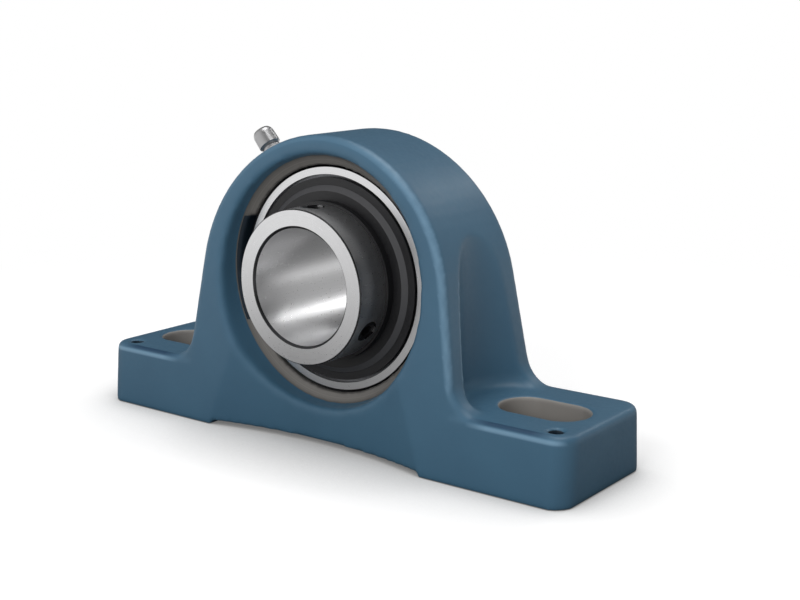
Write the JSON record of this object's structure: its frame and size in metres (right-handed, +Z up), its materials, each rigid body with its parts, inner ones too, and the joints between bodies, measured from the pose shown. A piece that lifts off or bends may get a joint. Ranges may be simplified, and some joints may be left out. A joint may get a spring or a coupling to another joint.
{
  "type": "pillow block bearing",
  "caption": "Cast arch housing on two slotted feet with a wide self-aligning ball bearing insert, grub-screw locking, dark flingers and a grease nipple on its shoulder.",
  "frame": {"origin": "on the mounting surface, straight under the middle of the bearing, at the centre of the two bolt slots", "axes": "+X along the base, +Z up from the mounting surface, -Y along the shaft towards the wide side of the insert"},
  "size_m": [0.152, 0.0422, 0.0803],
  "materials": {
    "cast_paint": "satin blue enamel over cast iron, machined seat left bare",
    "bearing_steel": "ground bearing steel",
    "cage_polyamide": "moulded polyamide",
    "seal_steel": "pressed sheet steel",
    "seal_rubber": "black nitrile rubber",
    "flinger_coat": "black rubber bonded to sheet steel",
    "black_steel": "blackened hardened steel",
    "plated_steel": "bright zinc plating",
    "ball_steel": "polished steel",
    "spring_steel": "drawn spring wire"
  },
  "bodies": {
    "housing_body": {"housing": "cast_paint", "grease_nipple": "plated_steel", "nipple_spring": "spring_steel"},
    "outer_body": {"outer_ring": "bearing_steel", "front_seal_core": "seal_steel", "front_seal_lip": "seal_rubber", "rear_seal_core": "seal_steel", "rear_seal_lip": "seal_rubber"},
    "inner_body": {"inner_ring": "bearing_steel", "front_flinger": "flinger_coat", "rear_flinger": "flinger_coat"},
    "cage_body": {"ball_cage": "cage_polyamide"},
    "screw_1_body": {"grub_screw_1": "black_steel"},
    "screw_2_body": {"grub_screw_2": "black_steel"},
    "check_ball_body": {"nipple_check_ball": "ball_steel"},
    "ball_1_body": {"ball_1": "ball_steel"},
    "ball_2_body": {"ball_2": "ball_steel"},
    "ball_3_body": {"ball_3": "ball_steel"},
    "ball_4_body": {"ball_4": "ball_steel"},
    "ball_5_body": {"ball_5": "ball_steel"},
    "ball_6_body": {"ball_6": "ball_steel"},
    "ball_7_body": {"ball_7": "ball_steel"},
    "ball_8_body": {"ball_8": "ball_steel"},
    "ball_9_body": {"ball_9": "ball_steel"}
  },
  "joints": [
    {"name": "insert_swivel", "type": "hinge", "parent": "housing_body", "child": "outer_body", "pos_m": [0, 0, 0.0429], "axis": [1, 0, 0], "range_deg": [-5, 5]},
    {"name": "shaft_spin", "type": "hinge", "parent": "outer_body", "child": "inner_body", "pos_m": [0, 0, 0.0429], "axis": [0, 1, 0], "continuous": true},
    {"name": "cage_spin", "type": "hinge", "parent": "outer_body", "child": "cage_body", "pos_m": [0, 0, 0.0429], "axis": [0, 1, 0], "continuous": true},
    {"name": "grub_screw_1_travel", "type": "slide", "parent": "inner_body", "child": "screw_1_body", "axis": [0.866, 0, -0.5], "range_m": [-0.0002, 0.0025]},
    {"name": "grub_screw_2_travel", "type": "slide", "parent": "inner_body", "child": "screw_2_body", "axis": [0, 0, 1], "range_m": [-0.0002, 0.0025]},
    {"name": "check_ball_travel", "type": "slide", "parent": "housing_body", "child": "check_ball_body", "axis": [0.6428, 0, -0.766], "range_m": [0, 0.0008], "stiffness_N_per_m": 400, "springref_m": -0.0002, "deforming": ["nipple_spring"]},
    {"name": "ball_1_spin", "type": "hinge", "parent": "cage_body", "child": "ball_1_body", "pos_m": [0, 0, 0.0659], "axis": [0, 1, 0], "continuous": true},
    {"name": "ball_2_spin", "type": "hinge", "parent": "cage_body", "child": "ball_2_body", "pos_m": [0.01478, 0, 0.06052], "axis": [0, 1, 0], "continuous": true},
    {"name": "ball_3_spin", "type": "hinge", "parent": "cage_body", "child": "ball_3_body", "pos_m": [0.02265, 0, 0.04689], "axis": [0, 1, 0], "continuous": true},
    {"name": "ball_4_spin", "type": "hinge", "parent": "cage_body", "child": "ball_4_body", "pos_m": [0.01992, 0, 0.0314], "axis": [0, 1, 0], "continuous": true},
    {"name": "ball_5_spin", "type": "hinge", "parent": "cage_body", "child": "ball_5_body", "pos_m": [0.00787, 0, 0.02129], "axis": [0, 1, 0], "continuous": true},
    {"name": "ball_6_spin", "type": "hinge", "parent": "cage_body", "child": "ball_6_body", "pos_m": [-0.00787, 0, 0.02129], "axis": [0, 1, 0], "continuous": true},
    {"name": "ball_7_spin", "type": "hinge", "parent": "cage_body", "child": "ball_7_body", "pos_m": [-0.01992, 0, 0.0314], "axis": [0, 1, 0], "continuous": true},
    {"name": "ball_8_spin", "type": "hinge", "parent": "cage_body", "child": "ball_8_body", "pos_m": [-0.02265, 0, 0.04689], "axis": [0, 1, 0], "continuous": true},
    {"name": "ball_9_spin", "type": "hinge", "parent": "cage_body", "child": "ball_9_body", "pos_m": [-0.01478, 0, 0.06052], "axis": [0, 1, 0], "continuous": true}
  ],
  "couplings": [
    {"joint": "cage_spin", "follows": "shaft_spin", "ratio": 0.39647},
    {"joint": "ball_1_spin", "follows": "shaft_spin", "ratio": -2.3112},
    {"joint": "ball_2_spin", "follows": "shaft_spin", "ratio": -2.3112},
    {"joint": "ball_3_spin", "follows": "shaft_spin", "ratio": -2.3112},
    {"joint": "ball_4_spin", "follows": "shaft_spin", "ratio": -2.3112},
    {"joint": "ball_5_spin", "follows": "shaft_spin", "ratio": -2.3112},
    {"joint": "ball_6_spin", "follows": "shaft_spin", "ratio": -2.3112},
    {"joint": "ball_7_spin", "follows": "shaft_spin", "ratio": -2.3112},
    {"joint": "ball_8_spin", "follows": "shaft_spin", "ratio": -2.3112},
    {"joint": "ball_9_spin", "follows": "shaft_spin", "ratio": -2.3112}
  ]
}
